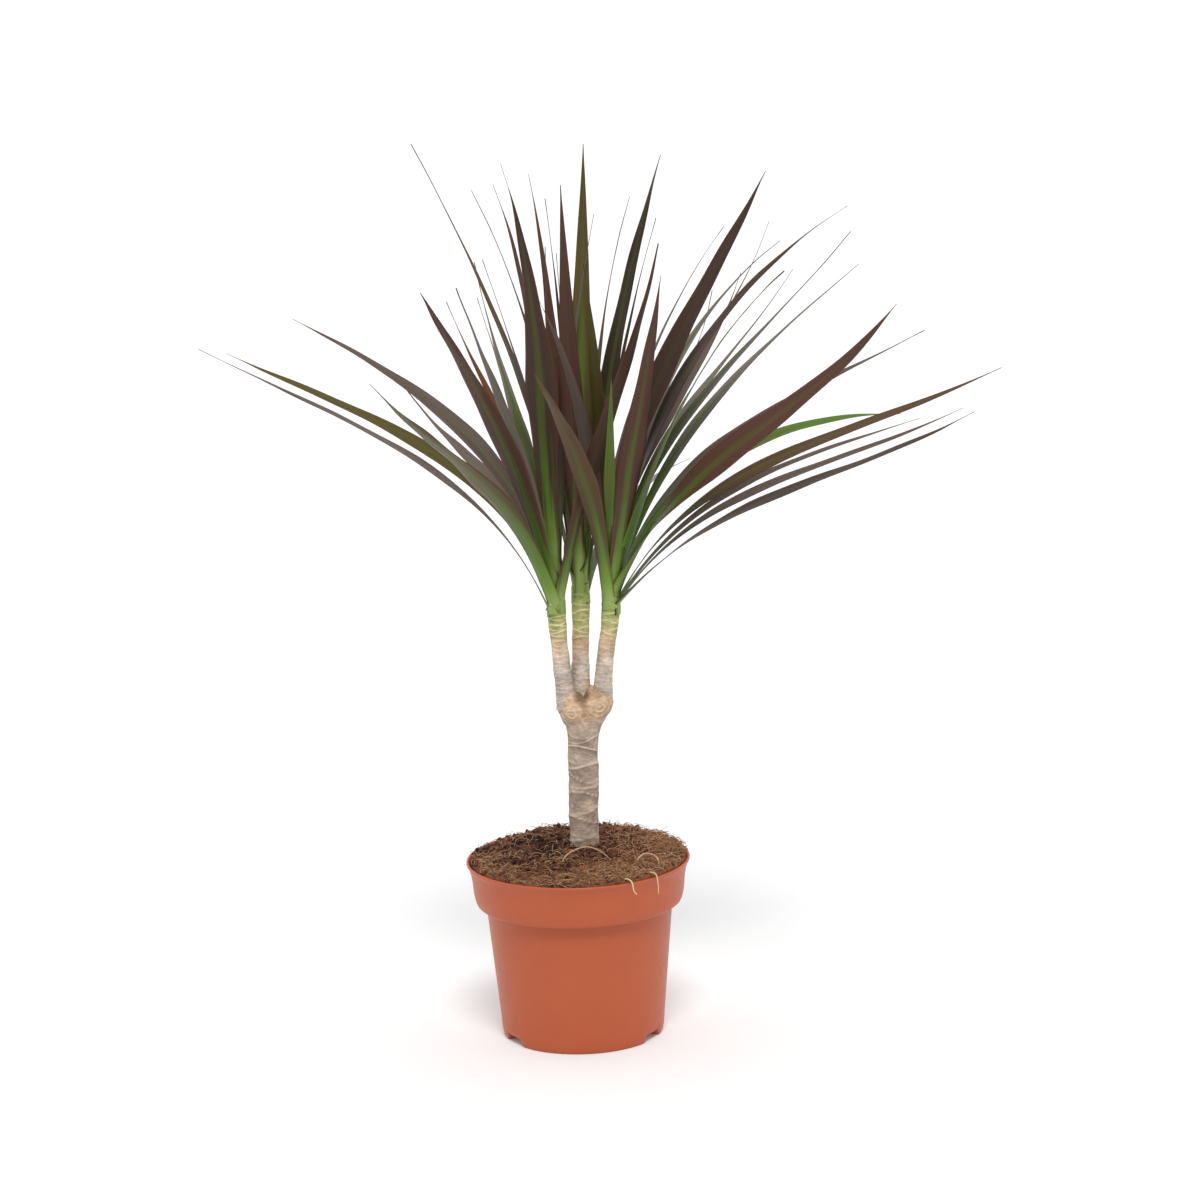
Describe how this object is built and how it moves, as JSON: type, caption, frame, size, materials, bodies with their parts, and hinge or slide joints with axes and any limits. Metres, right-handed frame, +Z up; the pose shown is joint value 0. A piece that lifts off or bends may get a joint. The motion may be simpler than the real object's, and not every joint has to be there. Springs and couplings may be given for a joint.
{
  "type": "potted dracaena",
  "caption": "Small house plant: a forked cane with tufts of narrow arching dark leaves, rooted in coir soil in a round tapered nursery pot with a deep collar and a footed base",
  "frame": {"origin": "middle of the whole plant's floor plan, on the surface that the pot stands on; the pot's axis stands 20 mm to -X and 17 mm to -Y of it", "axes": "+Z up, the way the plant grows; +X to the right and -Y to the front, the side that the leaves are seen from"},
  "size_m": [0.4179, 0.2748, 0.4834],
  "materials": {
    "pot_plastic": "satin",
    "soil": "matte",
    "cane": "matte",
    "leaf": "satin"
  },
  "bodies": {
    "root": {"pot": "pot_plastic", "soil": "soil", "cane": "cane", "leaf_left_01": "leaf", "leaf_left_02": "leaf", "leaf_left_03": "leaf", "leaf_left_04": "leaf", "leaf_left_05": "leaf", "leaf_left_06": "leaf", "leaf_left_07": "leaf", "leaf_left_08": "leaf", "leaf_left_09": "leaf", "leaf_left_10": "leaf", "leaf_left_11": "leaf", "leaf_left_12": "leaf", "leaf_left_13": "leaf", "leaf_left_14": "leaf", "leaf_left_15": "leaf", "leaf_left_16": "leaf", "leaf_left_17": "leaf", "leaf_middle_01": "leaf", "leaf_middle_02": "leaf", "leaf_middle_03": "leaf", "leaf_middle_04": "leaf", "leaf_middle_05": "leaf", "leaf_middle_06": "leaf", "leaf_middle_07": "leaf", "leaf_middle_08": "leaf", "leaf_middle_09": "leaf", "leaf_middle_10": "leaf", "leaf_middle_11": "leaf", "leaf_middle_12": "leaf", "leaf_middle_13": "leaf", "leaf_right_01": "leaf", "leaf_right_02": "leaf", "leaf_right_03": "leaf", "leaf_right_04": "leaf", "leaf_right_05": "leaf", "leaf_right_06": "leaf", "leaf_right_07": "leaf", "leaf_right_08": "leaf", "leaf_right_09": "leaf", "leaf_right_10": "leaf", "leaf_right_11": "leaf", "leaf_right_12": "leaf", "leaf_right_13": "leaf", "leaf_right_14": "leaf", "leaf_right_15": "leaf", "leaf_right_16": "leaf", "leaf_right_17": "leaf", "leaf_right_18": "leaf", "leaf_right_19": "leaf", "leaf_right_20": "leaf", "leaf_right_21": "leaf", "leaf_right_22": "leaf"}
  },
  "joints": []
}
